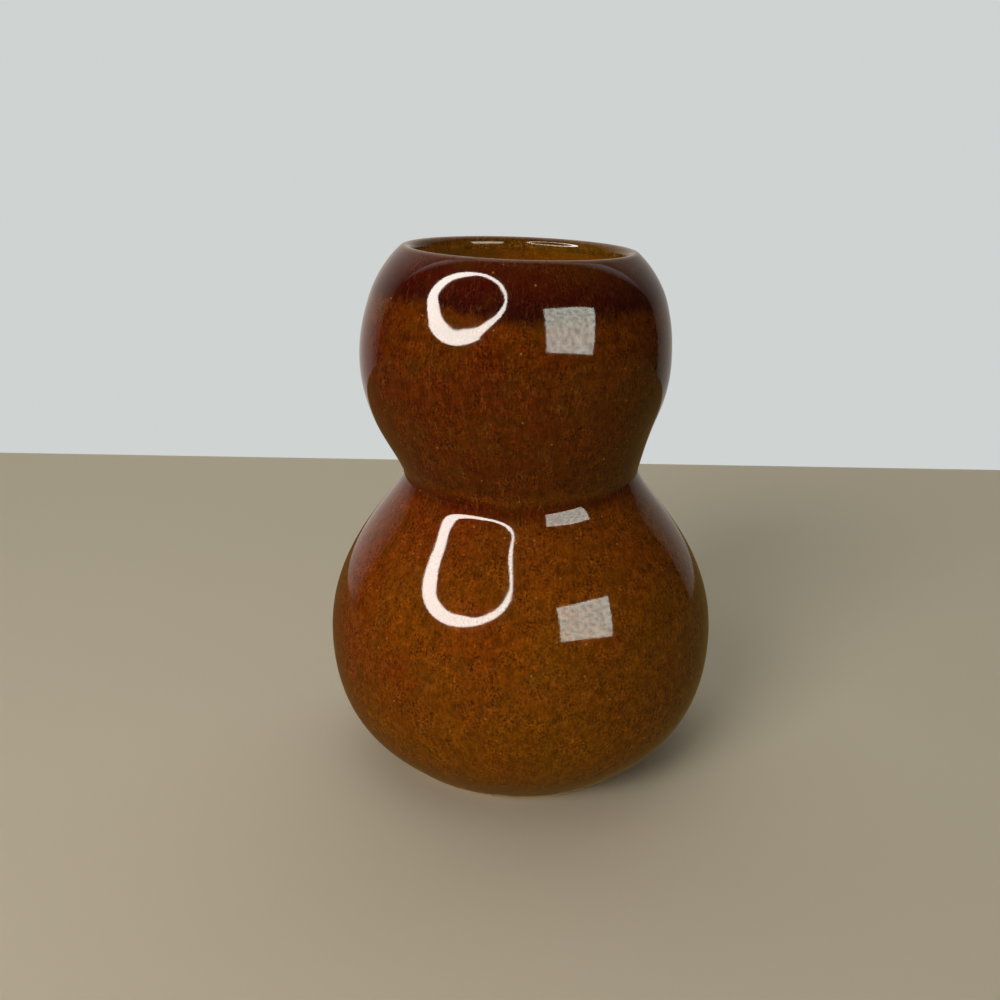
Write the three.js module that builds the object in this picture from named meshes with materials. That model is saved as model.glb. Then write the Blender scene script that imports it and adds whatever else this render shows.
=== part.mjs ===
// Bud vase: two thrown stoneware bulbs, the upper one joined on the lower one with slip, and glazed.
// Units are millimetres, +Z is up, and the origin is the centre of the foot where it meets the table.
// The outline is drawn on the outside of the amber glaze. Every surface under it is found by sinking
// that outline into the pot, by a coat and then by a wall, so the layers stay nested at any size.
import * as THREE from 'three';

// Outline of the glazed outside, from the foot upwards
const footRadius = 26.3;
const footHeight = 1.5;
const footFlare = 1.5;
const bellyRadius = 40;
const bellyRise = 25.8;
const waistRadius = 23.93;
const shoulderRise = 33.9;
const upperRadius = 30.9;
const neckRise = 23.8;
const mouthRadius = 23.05;
const mouthRise = 20.6;

// Slopes where one stretch of the outline meets the next, in degrees away from upright
const footSlope = 46.6;
const shoulderSlope = 8.7;
const neckSlope = 18.2;
const lipSlope = 48.3;

// Fullness of each curve: the length of its handle as a share of the rise that it spans
const footFullness = 0.24;
const bellyFullness = 0.63;
const shoulderFullness = 0.572;
const creaseFullnessBelow = 0.185;
const creaseFullnessAbove = 0.362;
const neckFullness = 0.404;
const upperFullness = 0.448;
const lipFullness = 0.311;

// Coats and walls: the clay is thrown thinner towards the lip
const creaseRadius = 1.2;
const outerGlaze = 0.5;
const linerGlaze = 0.5;
const wallAtFoot = 3.9;
const wallAtLip = 1.8;
const floorThickness = 4.2;

// Foot ring, turned into the underside
const footRingWidth = 4.4;
const footRecess = 1.6;
const footEase = 0.4;

// Second dip of glaze: its depth down the outside from the lip, its coat, and the tilt and waves of its edge
const dipDepth = 11.6;
const dipGlaze = 0.22;
const dipFeather = 0.08;
const dipTilt = { depth: 0.5, count: 1, turn: 0 };
const dipWave = { depth: 1, count: 3, turn: 1.05 };
const dipRipple = { depth: 0.3, count: 7, turn: 2.1 };

// Hairlines that keep each fired layer a solid of its own, wider under the wavy dip
const layerGap = 0.05;
const dipGap = 0.09;

// How the soft clay settled: the upper bulb stands off the lower one's axis, its rim is out of level,
// and the crease dips towards the front and the back and rises at the sides
const upperOffset = -1.3;
const offsetBelowWaist = 2;
const offsetAboveWaist = 12;
const mouthOffset = 0.8;
const rimSlope = -0.034;
const creaseDip = 1.15;
const creaseDipReach = 24;
const creaseDipTurn = -9;

// Counts of facets: round the pot, and along each stretch of the outline
const facetCountRound = 36;
const facetCounts = {
  recess: 3, floor: 3, belly: 6, shoulder: 6, crease: 2, turn: 2, neck: 5, mouth: 5, lip: 6, dip: 4,
};

const bellyHeight = footHeight + bellyRise;
const waistHeight = bellyHeight + shoulderRise;
const upperHeight = waistHeight + neckRise;
const mouthHeight = upperHeight + mouthRise;

const point = (r, z) => new THREE.Vector2(r, z);

// Unit direction that leans away from upright by an angle in degrees, outwards where it is positive
function leaning(degrees) {
  const angle = THREE.MathUtils.degToRad(degrees);
  return point(Math.sin(angle), Math.cos(angle));
}

const outwardsOf = (along) => point(along.y, -along.x);

// Smooth curve between two points, given the slope and the handle length at each
function sweep(start, startSlope, startHandle, end, endSlope, endHandle) {
  const leaving = start.clone().addScaledVector(leaning(startSlope), startHandle);
  const arriving = end.clone().addScaledVector(leaning(endSlope), -endHandle);
  return new THREE.CubicBezierCurve(start, leaving, arriving, end);
}

// The crease is a small fillet, tangent to the shoulder, which hollows as it nears it, and to the neck
const creaseTurn = THREE.MathUtils.degToRad(shoulderSlope + neckSlope);
const creaseReach = creaseRadius * Math.tan(creaseTurn / 2);
const creaseCorner = point(waistRadius, waistHeight);
const creaseStart = creaseCorner.clone().addScaledVector(leaning(-shoulderSlope), -creaseReach);
const creaseEnd = creaseCorner.clone().addScaledVector(leaning(neckSlope), creaseReach);
const creaseCentre = creaseStart.clone().addScaledVector(outwardsOf(leaning(-shoulderSlope)), creaseRadius);

const glazeLine = point(footRadius + footFlare, footHeight);
const bellyWidest = point(bellyRadius, bellyHeight);
const upperWidest = point(upperRadius, upperHeight);
const lipStart = point(mouthRadius, mouthHeight);

const bellyCurve = sweep(
  glazeLine, footSlope, footFullness * bellyRise,
  bellyWidest, 0, bellyFullness * bellyRise,
);
const shoulderCurve = sweep(
  bellyWidest, 0, shoulderFullness * shoulderRise,
  creaseStart, -shoulderSlope, creaseFullnessBelow * shoulderRise,
);
const neckCurve = sweep(
  creaseEnd, neckSlope, creaseFullnessAbove * neckRise,
  upperWidest, 0, neckFullness * neckRise,
);
const mouthCurve = sweep(
  upperWidest, 0, upperFullness * mouthRise,
  lipStart, -lipSlope, lipFullness * mouthRise,
);

// A station is a point of the outline, the directions along it and out of it, and the clay wall behind it
function station(position, along) {
  const wall = THREE.MathUtils.lerp(wallAtFoot, wallAtLip, position.y / mouthHeight);
  return { position, along, outwards: outwardsOf(along), wall };
}

function stationsOn(curve, count) {
  return Array.from({ length: count + 1 }, (unused, index) => {
    const t = index / count;
    return station(curve.getPoint(t), curve.getTangent(t));
  });
}

// Station round the crease, where the outline has turned to a slope
function creaseStation(slope) {
  const along = leaning(slope);
  return station(creaseCentre.clone().addScaledVector(outwardsOf(along), -creaseRadius), along);
}

function creaseStations(fromSlope, toSlope, count) {
  return Array.from({ length: count + 1 }, (unused, index) => (
    creaseStation(THREE.MathUtils.lerp(fromSlope, toSlope, index / count))
  ));
}

// Depths of the surfaces below the glazed outside
const glazeBack = () => outerGlaze;
const clayOutside = () => outerGlaze + layerGap;
const clayInside = (at) => clayOutside() + at.wall;
const linerBack = (at) => clayInside(at) + layerGap;
const linerFace = (at) => linerBack(at) + linerGlaze;
const glazedOutside = () => 0;

const sink = (at, depth) => at.position.clone().addScaledVector(at.outwards, -depth);
const surface = (stations, depth) => stations.map((at) => sink(at, depth(at)));

const belly = stationsOn(bellyCurve, facetCounts.belly);
const shoulder = stationsOn(shoulderCurve, facetCounts.shoulder);
const crease = creaseStations(-shoulderSlope, neckSlope, facetCounts.crease);
const neck = stationsOn(neckCurve, facetCounts.neck);
const mouth = stationsOn(mouthCurve, facetCounts.mouth);
const lip = mouth[mouth.length - 1];

// The joint faces are level as they are thrown, at the two ends of the clay's own fillet
const lowerFaceHeight = sink(crease[0], clayOutside()).y;
const upperFaceHeight = sink(crease[crease.length - 1], clayOutside()).y;

// Slope at which the inside of the waist passes a joint face
function insideSlopeAt(height) {
  const radius = creaseRadius + clayInside(creaseStation(0));
  return THREE.MathUtils.radToDeg(Math.asin((height - creaseCentre.y) / radius));
}

const lowerFaceSlope = insideSlopeAt(lowerFaceHeight);
const upperFaceSlope = insideSlopeAt(upperFaceHeight);
const waistBelow = creaseStations(-shoulderSlope, lowerFaceSlope, facetCounts.turn);
const waistAbove = creaseStations(upperFaceSlope, neckSlope, facetCounts.turn);

// Stations of the whole inside, from the level part of the floor to the lip
const wallStart = Math.floor(belly.length / 2);
const wallBelow = [...belly.slice(wallStart), ...shoulder.slice(1), ...waistBelow.slice(1)];
const wallAbove = [...waistAbove, ...neck.slice(1), ...mouth.slice(1)];

// Joins stretches of outline, dropping each point that repeats the one before it
function joined(...stretches) {
  const isNew = (p, index, all) => index === 0 || p.distanceTo(all[index - 1]) > layerGap / 4;
  return stretches.flat().filter(isNew);
}

const closed = (outline) => [...outline, outline[0].clone()];
const reversed = (points) => [...points].reverse();

// Point of the straight run between two points, at a height
function atHeight(from, to, height) {
  return from.clone().lerp(to, (height - from.y) / (to.y - from.y));
}

// Round cap over the lip, from a depth on the outside to a depth on the inside
function lipCap(outerDepth, innerDepth) {
  const middle = sink(lip, (outerDepth + innerDepth) / 2);
  const radius = (innerDepth - outerDepth) / 2;
  return Array.from({ length: facetCounts.lip + 1 }, (unused, index) => {
    const angle = (Math.PI * index) / facetCounts.lip;
    return middle.clone()
      .addScaledVector(lip.outwards, radius * Math.cos(angle))
      .addScaledVector(lip.along, radius * Math.sin(angle));
  });
}

// Inside of the floor: level in the middle, and tangent to the belly where the wall starts
function floorPoints(depth, height) {
  const at = belly[wallStart];
  const end = sink(at, depth(at));
  const corner = end.clone().addScaledVector(at.along, (height - end.y) / at.along.y);
  const curve = new THREE.CubicBezierCurve(point(0, height), point(end.x / 2, height), corner, end);
  return curve.getPoints(facetCounts.floor);
}

// Underside: the ceiling of the recess, its round corner, and the flat ring that the vase stands on
function undersidePoints() {
  const cornerCentre = footRadius - footRingWidth - footRecess;
  const corner = new THREE.EllipseCurve(cornerCentre, 0, footRecess, footRecess, Math.PI / 2, 0, true);
  return [
    point(0, footRecess),
    ...corner.getPoints(facetCounts.recess),
    point(footRadius - footEase, 0),
    point(footRadius, footEase),
  ];
}

// Height that a point near the waist lost, at an angle round the pot from its front
function dipOfCrease(angle, height) {
  const nearWaist = 1 - THREE.MathUtils.smoothstep(Math.abs(height - waistHeight), 0, creaseDipReach);
  return creaseDip * nearWaist * Math.cos(2 * (angle - THREE.MathUtils.degToRad(creaseDipTurn)));
}

// Moves each point as the soft clay settled: nothing at the foot, most at the waist and the rim
function settle(geometry) {
  const { smoothstep } = THREE.MathUtils;
  const positions = geometry.getAttribute('position');
  for (let index = 0; index < positions.count; index += 1) {
    const x = positions.getX(index);
    const z = positions.getZ(index);
    const angle = Math.atan2(x, -positions.getY(index));
    const aboveWaist = smoothstep(z, waistHeight - offsetBelowWaist, waistHeight + offsetAboveWaist);
    const towardsRim = smoothstep(z, upperHeight, mouthHeight);
    positions.setX(index, x + upperOffset * aboveWaist + mouthOffset * towardsRim);
    positions.setZ(index, z + rimSlope * towardsRim * x - dipOfCrease(angle, z));
  }
}

function piece(name, geometry, look) {
  geometry.rotateX(Math.PI / 2);
  settle(geometry);
  geometry.computeVertexNormals();
  const mesh = new THREE.Mesh(geometry, new THREE.MeshStandardMaterial(look));
  mesh.name = name;
  return mesh;
}

function turned(name, outline, look) {
  return piece(name, new THREE.LatheGeometry(outline, facetCountRound), look);
}

// Lower bulb: foot ring, floor, belly and shoulder, up to its joint face
function makeLowerBulb() {
  const inside = surface(wallBelow, clayInside);
  inside[inside.length - 1].y = lowerFaceHeight;
  const outline = joined(
    undersidePoints(),
    surface(belly, clayOutside),
    surface(shoulder, clayOutside),
    reversed(inside),
    reversed(floorPoints(clayInside, footRecess + floorThickness)),
  );
  return turned('lower_bulb', outline, { color: 0xb39a7c, roughness: 0.85, metalness: 0 });
}

// Slip ring between the joint faces: it is the fillet outside, and is smoothed flush inside
function makeWaistSlipJoint() {
  const bottom = lowerFaceHeight + layerGap;
  const top = upperFaceHeight - layerGap;
  const fillet = surface(crease, clayOutside);
  const last = fillet.length - 1;
  const [insideBottom, insideTop] = surface(
    [creaseStation(lowerFaceSlope), creaseStation(upperFaceSlope)],
    clayInside,
  );
  const outline = [
    atHeight(fillet[0], fillet[1], bottom),
    ...fillet.slice(1, last),
    atHeight(fillet[last], fillet[last - 1], top),
    atHeight(insideTop, insideBottom, top),
    atHeight(insideBottom, insideTop, bottom),
  ];
  return turned('waist_slip_joint', closed(outline), { color: 0xa58b6d, roughness: 0.9, metalness: 0 });
}

// Upper bulb: its joint face, belly and rounded lip
function makeUpperBulb() {
  const inside = surface(wallAbove, clayInside);
  inside[0].y = upperFaceHeight;
  const outline = joined(
    surface(neck, clayOutside),
    surface(mouth, clayOutside),
    lipCap(clayOutside(), clayInside(lip)),
    reversed(inside),
  );
  return turned('upper_bulb', closed(outline), { color: 0xb39a7c, roughness: 0.85, metalness: 0 });
}

// Liner glaze: one coat over the whole inside, ending against the outer coat at the lip
function makeLinerGlaze() {
  const wall = [...wallBelow, ...wallAbove];
  const lowered = (points) => {
    points[points.length - 1].addScaledVector(lip.along, -layerGap);
    return points;
  };
  const floorBack = footRecess + floorThickness + layerGap;
  const outline = joined(
    floorPoints(linerBack, floorBack),
    lowered(surface(wall, linerBack)),
    reversed(lowered(surface(wall, linerFace))),
    reversed(floorPoints(linerFace, floorBack + linerGlaze)),
  );
  return turned('liner_glaze', outline, { color: 0x5a300a, roughness: 0.18, metalness: 0 });
}

// Amber glaze: the outer coat, from its thick rolled edge above the foot, over the lip, to the liner
function makeAmberGlaze() {
  const outside = [...belly, ...shoulder.slice(1), ...crease.slice(1), ...neck.slice(1), ...mouth.slice(1)];
  const rolledEdge = sink(belly[0], outerGlaze / 2).addScaledVector(belly[0].along, -outerGlaze / 2);
  const outline = joined(
    [rolledEdge],
    surface(outside, glazedOutside),
    lipCap(0, linerFace(lip)),
    reversed(lipCap(glazeBack(), linerBack(lip))),
    reversed(surface(outside, glazeBack)),
  );
  return turned('amber_glaze', closed(outline), { color: 0x6a3206, roughness: 0.12, metalness: 0 });
}

// Depth of the second dip at an angle round the pot: the rim went in at a tilt, and its edge waves
function dipDepthAt(angle) {
  const waveAt = ({ depth, count, turn }) => depth * Math.sin(count * angle + turn);
  return dipDepth + waveAt(dipTilt) + waveAt(dipWave) + waveAt(dipRipple);
}

// Stations down the outside from the lip to the dip's edge, which thins out over its last step
function dipStations(angle) {
  const length = mouthCurve.getLength();
  return Array.from({ length: facetCounts.dip + 1 }, (unused, index) => {
    const u = 1 - (dipDepthAt(angle) * index) / facetCounts.dip / length;
    const at = station(mouthCurve.getPointAt(u), mouthCurve.getTangentAt(u));
    return { ...at, coat: index === facetCounts.dip ? dipFeather : dipGlaze };
  });
}

function dipOutline(angle) {
  const stations = dipStations(angle);
  const face = surface(stations, (at) => -dipGap - at.coat);
  const back = surface(stations, () => -dipGap);
  const faceDepth = dipGap + dipGlaze;
  return closed([
    ...reversed(face),
    ...lipCap(-faceDepth, linerFace(lip) + faceDepth).slice(1),
    ...reversed(lipCap(-dipGap, linerFace(lip) + dipGap)),
    ...back.slice(1),
  ]);
}

// Dark dip glaze: the rim's second coat, turned and then let down to its wavy edge
function makeDarkDipGlaze() {
  const geometry = new THREE.LatheGeometry(dipOutline(0), facetCountRound);
  const positions = geometry.getAttribute('position');
  const pointsPerOutline = dipOutline(0).length;
  for (let index = 0; index < positions.count; index += 1) {
    const angle = Math.atan2(positions.getX(index), positions.getZ(index));
    const moved = dipOutline(angle)[index % pointsPerOutline];
    positions.setXYZ(index, moved.x * Math.sin(angle), moved.y, moved.x * Math.cos(angle));
  }
  return piece('dark_dip_glaze', geometry, { color: 0x350c05, roughness: 0.12, metalness: 0 });
}

const vase = new THREE.Group();
vase.add(
  makeLowerBulb(),
  makeWaistSlipJoint(),
  makeUpperBulb(),
  makeLinerGlaze(),
  makeAmberGlaze(),
  makeDarkDipGlaze(),
);

export default vase;
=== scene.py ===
# %% [markdown]
# # Double-gourd bud vase
# The real vase is two thrown stoneware bulbs joined at a waist. It is glazed amber brown outside and
# honey brown inside, and its rim was dipped a second time in a dark red-brown glaze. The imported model
# already holds every layer as a faceted solid. This lesson dresses it: smooth turned coats take the place
# of the faceted ones, and every finish is mixed from procedural nodes.

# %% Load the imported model
import math

import bmesh
import bpy
from mathutils import Matrix, Vector, noise
from mathutils.geometry import interpolate_bezier


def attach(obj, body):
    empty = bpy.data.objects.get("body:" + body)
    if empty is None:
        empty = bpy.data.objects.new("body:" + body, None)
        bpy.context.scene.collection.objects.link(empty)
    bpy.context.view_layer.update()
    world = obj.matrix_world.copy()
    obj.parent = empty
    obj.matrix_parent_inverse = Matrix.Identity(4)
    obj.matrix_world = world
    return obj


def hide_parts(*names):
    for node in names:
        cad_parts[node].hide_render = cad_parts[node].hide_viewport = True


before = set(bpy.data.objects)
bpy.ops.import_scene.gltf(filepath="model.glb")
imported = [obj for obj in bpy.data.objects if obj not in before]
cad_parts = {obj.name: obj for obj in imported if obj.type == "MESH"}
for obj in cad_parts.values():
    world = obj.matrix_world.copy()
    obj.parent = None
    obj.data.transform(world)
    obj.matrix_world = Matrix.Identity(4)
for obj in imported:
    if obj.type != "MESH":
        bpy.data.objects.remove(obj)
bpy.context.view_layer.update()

BODY = "root"
MM = 0.001
print("nodes:", sorted(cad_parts))

# %% [markdown]
# ## The camera
# The photograph looks down on the vase from close by, a little above its mouth, so the mouth is a thin
# ellipse and the foot is drawn narrower than the belly. The camera could be placed by eye. Here it comes
# from fitting the outline of the pot, and only its place, tilt and lens are written down.

# %% Place the camera
CAMERA_PLACE = Vector((-4.337, -220.0, 127.692)) * MM
CAMERA_TILT = 18.396
FOCAL_PX = 1115.52
IMAGE_PX = 1000
SENSOR = 36.0

camera_data = bpy.data.cameras.new("camera")
camera_data.sensor_width = SENSOR
camera_data.lens = FOCAL_PX / IMAGE_PX * SENSOR
camera = bpy.data.objects.new("camera", camera_data)
camera.location = CAMERA_PLACE
camera.rotation_euler = (math.radians(90 - CAMERA_TILT), 0, 0)
bpy.context.scene.collection.objects.link(camera)
bpy.context.scene.camera = camera
print("lens:", round(camera_data.lens, 2), "mm")

# %% [markdown]
# ## The outline
# A potter checks a pot against a profile gauge. This is that gauge: the outside of the amber glaze, from
# the glaze line above the foot up to the lip. A list of measured points would look lumpy once it is
# turned, so the outline is four smooth curves and one small fillet at the crease, all set by a few radii,
# rises and slopes.

# %% Driving sizes of the outline
FOOT_RADIUS = 26.3 * MM
FOOT_HEIGHT = 1.5 * MM
FOOT_FLARE = 1.5 * MM
BELLY_RADIUS = 40.0 * MM
BELLY_RISE = 25.8 * MM
WAIST_RADIUS = 23.93 * MM
SHOULDER_RISE = 33.9 * MM
UPPER_RADIUS = 30.9 * MM
NECK_RISE = 23.8 * MM
MOUTH_RADIUS = 23.05 * MM
MOUTH_RISE = 20.6 * MM
CREASE_RADIUS = 1.2 * MM

# Slopes away from upright where one stretch meets the next
FOOT_SLOPE = 46.6
SHOULDER_SLOPE = 8.7
NECK_SLOPE = 18.2
LIP_SLOPE = 48.3

# Fullness: the length of a curve's handle as a share of its rise, at its start and at its end
BELLY_FULLNESS = (0.24, 0.63)
SHOULDER_FULLNESS = (0.572, 0.185)
NECK_FULLNESS = (0.362, 0.404)
MOUTH_FULLNESS = (0.448, 0.311)

# How finely each stretch is drawn
BELLY_POINTS = 40
SHOULDER_POINTS = 44
CREASE_STEPS = 8
NECK_POINTS = 32
MOUTH_POINTS = 40

BELLY_HEIGHT = FOOT_HEIGHT + BELLY_RISE
WAIST_HEIGHT = BELLY_HEIGHT + SHOULDER_RISE
UPPER_HEIGHT = WAIST_HEIGHT + NECK_RISE
MOUTH_HEIGHT = UPPER_HEIGHT + MOUTH_RISE
print("lip height on the true turning:", round(MOUTH_HEIGHT / MM, 1), "mm")


# %% Draw the outline
def leaning(degrees):
    """Unit direction as (radius, height), leaning out from upright by an angle."""
    angle = math.radians(degrees)
    return Vector((math.sin(angle), math.cos(angle)))


def outwards(along):
    """The direction square to a stretch of the outline, away from the clay."""
    return Vector((along.y, -along.x))


def sweep(start, start_slope, end, end_slope, fullness, count):
    """Smooth curve between two points, given the slope and the fullness at each."""
    rise = end.y - start.y
    leaving = start + leaning(start_slope) * rise * fullness[0]
    arriving = end - leaning(end_slope) * rise * fullness[1]
    return interpolate_bezier(start, leaving, arriving, end, count)


crease_reach = CREASE_RADIUS * math.tan(math.radians(SHOULDER_SLOPE + NECK_SLOPE) / 2)
crease_corner = Vector((WAIST_RADIUS, WAIST_HEIGHT))
crease_start = crease_corner - leaning(-SHOULDER_SLOPE) * crease_reach
crease_end = crease_corner + leaning(NECK_SLOPE) * crease_reach
crease_centre = crease_start + outwards(leaning(-SHOULDER_SLOPE)) * CREASE_RADIUS
glaze_line = Vector((FOOT_RADIUS + FOOT_FLARE, FOOT_HEIGHT))
belly_widest = Vector((BELLY_RADIUS, BELLY_HEIGHT))
upper_widest = Vector((UPPER_RADIUS, UPPER_HEIGHT))
lip_start = Vector((MOUTH_RADIUS, MOUTH_HEIGHT))


def crease_arc():
    """Points round the fillet, from the shoulder's slope to the neck's."""
    turn = SHOULDER_SLOPE + NECK_SLOPE
    slopes = [-SHOULDER_SLOPE + turn * step / CREASE_STEPS for step in range(CREASE_STEPS + 1)]
    return [crease_centre - outwards(leaning(slope)) * CREASE_RADIUS for slope in slopes]


belly = sweep(glaze_line, FOOT_SLOPE, belly_widest, 0, BELLY_FULLNESS, BELLY_POINTS)
shoulder = sweep(belly_widest, 0, crease_start, -SHOULDER_SLOPE, SHOULDER_FULLNESS, SHOULDER_POINTS)
neck = sweep(crease_end, NECK_SLOPE, upper_widest, 0, NECK_FULLNESS, NECK_POINTS)
mouth = sweep(upper_widest, 0, lip_start, -LIP_SLOPE, MOUTH_FULLNESS, MOUTH_POINTS)
outside = belly + shoulder[1:] + crease_arc()[1:] + neck[1:] + mouth[1:]
print("outline points:", len(outside))

# %% [markdown]
# ## Coats and walls under the outline
# Every other surface of the pot follows the same gauge, some depth inside it: first the glaze, then the
# clay, then the liner glaze. Sinking the outline along its own normals keeps each coat even, as dipping
# does, where scaling it would make the coat thick at the belly and thin at the neck.

# %% Measure along the outline
OUTER_GLAZE = 0.5 * MM
LINER_GLAZE = 0.5 * MM
HAIRLINE = 0.05 * MM
WALL_AT_FOOT = 3.9 * MM
WALL_AT_LIP = 1.8 * MM


def directions(points):
    """Unit direction along the outline at each point, from its two neighbours."""
    last = len(points) - 1
    return [(points[min(i + 1, last)] - points[max(i - 1, 0)]).normalized() for i in range(last + 1)]


def reaches(points):
    """Length along the outline from its first point to each point."""
    total = [0.0]
    for before, after in zip(points, points[1:]):
        total.append(total[-1] + (after - before).length)
    return total


alongs = directions(outside)
reach_of = reaches(outside)

# The outline point where the crease's fillet starts
CREASE_FIRST = len(belly) + len(shoulder) - 2
CREASE_REACH = reach_of[CREASE_FIRST + CREASE_STEPS // 2]
LIP_REACH = reach_of[-1]
print("outline length:", round(LIP_REACH / MM, 1), "mm; crease at", round(CREASE_REACH / MM, 1), "mm")


# %% Depth of each surface under the outline
def wall_at(height):
    """Thickness of the thrown wall, which thins evenly from the foot to the lip."""
    share = height / MOUTH_HEIGHT
    return WALL_AT_FOOT + (WALL_AT_LIP - WALL_AT_FOOT) * share


def even(depth):
    """The same depth at every height."""
    return lambda height: depth


clay_outside = even(OUTER_GLAZE + HAIRLINE)


def clay_inside(height):
    return clay_outside(height) + wall_at(height)


def liner_back(height):
    return clay_inside(height) + HAIRLINE


def liner_face(height):
    return liner_back(height) + LINER_GLAZE


print("wall half way up:", round(wall_at(MOUTH_HEIGHT / 2) / MM, 2), "mm")


# %% Draw a surface at its depth, and the cap over the lip
CAP_STEPS = 14


def sunk(depth_at, first=0, last=None):
    """Points (radius, height, reach) of the surface that lies some depth inside the outline."""
    found = []
    for spot, along, reach in list(zip(outside, alongs, reach_of))[first:last]:
        placed = spot - outwards(along) * depth_at(spot.y)
        found.append((placed.x, placed.y, reach))
    return found


def lip_cap(outer_depth, inner_depth):
    """Round cap over the lip, from a depth on the outside to a depth on the inside."""
    spot, along = outside[-1], alongs[-1]
    out = outwards(along)
    radius = (inner_depth - outer_depth) / 2
    middle = spot - out * (outer_depth + radius)
    found = []
    for step in range(CAP_STEPS + 1):
        angle = math.pi * step / CAP_STEPS
        placed = middle + out * radius * math.cos(angle) + along * radius * math.sin(angle)
        found.append((placed.x, placed.y, LIP_REACH + radius * angle))
    return found


def lip_depth(depth_at):
    """A surface's depth at the lip, where the outline ends."""
    return depth_at(outside[-1].y)


print("lip:", round(lip_depth(liner_face) / MM, 2), "mm thick with its glazes")

# %% [markdown]
# ## Turning a coat
# A pot is a profile turned round an axis, so each piece starts as one closed outline that bmesh spins
# through a full turn. The doubles along the seam and at the poles are merged, and the normals are
# recalculated after that. Each outline point also carries its reach, the length along the gauge, which
# the finishes read later so that bands and drips follow the form.

# %% Turn an outline into a closed piece
WELD = 0.001 * MM
TURNS = 180
SHARP = math.radians(40)
print("one facet of the belly:", round(math.tau * BELLY_RADIUS / TURNS / MM, 2), "mm wide")


def turned(name, outline, closes=True):
    """A piece turned from (radius, height, reach) points, with the reach kept on every vertex."""
    work = bmesh.new()
    reach_layer = work.verts.layers.float.new("reach")
    ring = []
    for radius, height, reach in outline:
        vert = work.verts.new((radius, 0, height))
        vert[reach_layer] = reach
        ring.append(vert)
    pairs = list(zip(ring, ring[1:]))
    if closes:
        pairs.append((ring[-1], ring[0]))
    edges = [work.edges.new(pair) for pair in pairs]
    bmesh.ops.spin(
        work,
        geom=ring + edges,
        cent=(0, 0, 0),
        axis=(0, 0, 1),
        angle=math.tau,
        steps=TURNS,
        use_merge=True,
    )
    bmesh.ops.remove_doubles(work, verts=work.verts, dist=WELD)
    bmesh.ops.recalc_face_normals(work, faces=work.faces)
    for face in work.faces:
        face.smooth = True
    for edge in work.edges:
        edge.smooth = edge.calc_face_angle(0) < SHARP
    mesh = bpy.data.meshes.new(name)
    work.to_mesh(mesh)
    work.free()
    piece = bpy.data.objects.new(name, mesh)
    bpy.context.scene.collection.objects.link(piece)
    return piece


# %% [markdown]
# ## What the soft clay did
# The wheel makes a true circle and then the potter's hands undo it a little. The upper bulb stands off
# the lower one's axis, the rim is out of level, and the wall has broad shallow dents from the fingers,
# with one low swelling on the shoulder about half a millimetre high. They could be left out, but the
# reflections show them plainly: on a perfect turning the ring of light would be perfect too, and the
# window on the shoulder would be taller. All layers move by the same rule, so that they stay nested.

# %% Sizes of what the clay did
UPPER_OFFSET = -1.3 * MM
OFFSET_BELOW_WAIST = 2 * MM
OFFSET_ABOVE_WAIST = 12 * MM
MOUTH_OFFSET = 0.8 * MM
RIM_SLOPE = -0.034
CREASE_DIP = 1.15 * MM
CREASE_DIP_REACH = 24 * MM
CREASE_DIP_TURN = math.radians(-9)
CREASE_DIPS = 2
DENT_LENGTH = 15 * MM
DENT_DEPTH = 0.07 * MM
DENT_STRETCH = 0.75
CALM_AXIS = (2 * MM, 10 * MM)
SWELLING_PLACE = Vector((12.0, -33.9, 43.4)) * MM
SWELLING_RISE = 0.46 * MM
SWELLING_ACROSS = 9 * MM
SWELLING_UP = 5 * MM
print("rim out of level by", round(abs(RIM_SLOPE) * 2 * MOUTH_RADIUS / MM, 1), "mm")


# %% Let the clay settle
def smooth_share(value, low, high):
    """0 below low, 1 above high, and a smooth step between them."""
    share = min(max((value - low) / (high - low), 0.0), 1.0)
    return share * share * (3 - 2 * share)


def crease_dip(spot):
    """Height lost near the waist: the crease dips at the front and back and rises at the sides."""
    near_waist = 1 - smooth_share(abs(spot.z - WAIST_HEIGHT), 0, CREASE_DIP_REACH)
    angle = math.atan2(spot.x, -spot.y)
    return CREASE_DIP * near_waist * math.cos(CREASE_DIPS * (angle - CREASE_DIP_TURN))


def swelling(spot):
    """Height of the low swelling at a point: a smooth hill, wider round the pot than it is tall."""
    side = Vector((-SWELLING_PLACE.y, SWELLING_PLACE.x, 0)).normalized()
    offset = spot - SWELLING_PLACE
    across = offset.dot(side)
    up = (offset - side * across).length
    return SWELLING_RISE * math.exp(-((across / SWELLING_ACROSS) ** 2 + (up / SWELLING_UP) ** 2) / 2)


def settled(spot):
    """Where a point of the true turning lies on the finished pot."""
    above_waist = smooth_share(spot.z, WAIST_HEIGHT - OFFSET_BELOW_WAIST, WAIST_HEIGHT + OFFSET_ABOVE_WAIST)
    towards_rim = smooth_share(spot.z, UPPER_HEIGHT, MOUTH_HEIGHT)
    radial = Vector((spot.x, spot.y, 0))
    away_from_axis = smooth_share(radial.length, *CALM_AXIS)
    dent = noise.noise(Vector((spot.x, spot.y, spot.z * DENT_STRETCH)) / DENT_LENGTH)
    pressed_in = DENT_DEPTH * (1 + dent) / 2 * away_from_axis
    moved = spot + radial.normalized() * (swelling(spot) - pressed_in)
    moved.z += RIM_SLOPE * towards_rim * spot.x - crease_dip(spot)
    moved.x += UPPER_OFFSET * above_waist + MOUTH_OFFSET * towards_rim
    return moved


def settle(piece):
    """Move every vertex of a turned piece to its place on the finished pot."""
    for vert in piece.data.vertices:
        vert.co = settled(vert.co)
    piece.data.update()


front_dip = crease_dip(Vector((0, -WAIST_RADIUS, WAIST_HEIGHT)))
print("crease dips by", round(front_dip / MM, 2), "mm at the front")

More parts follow.
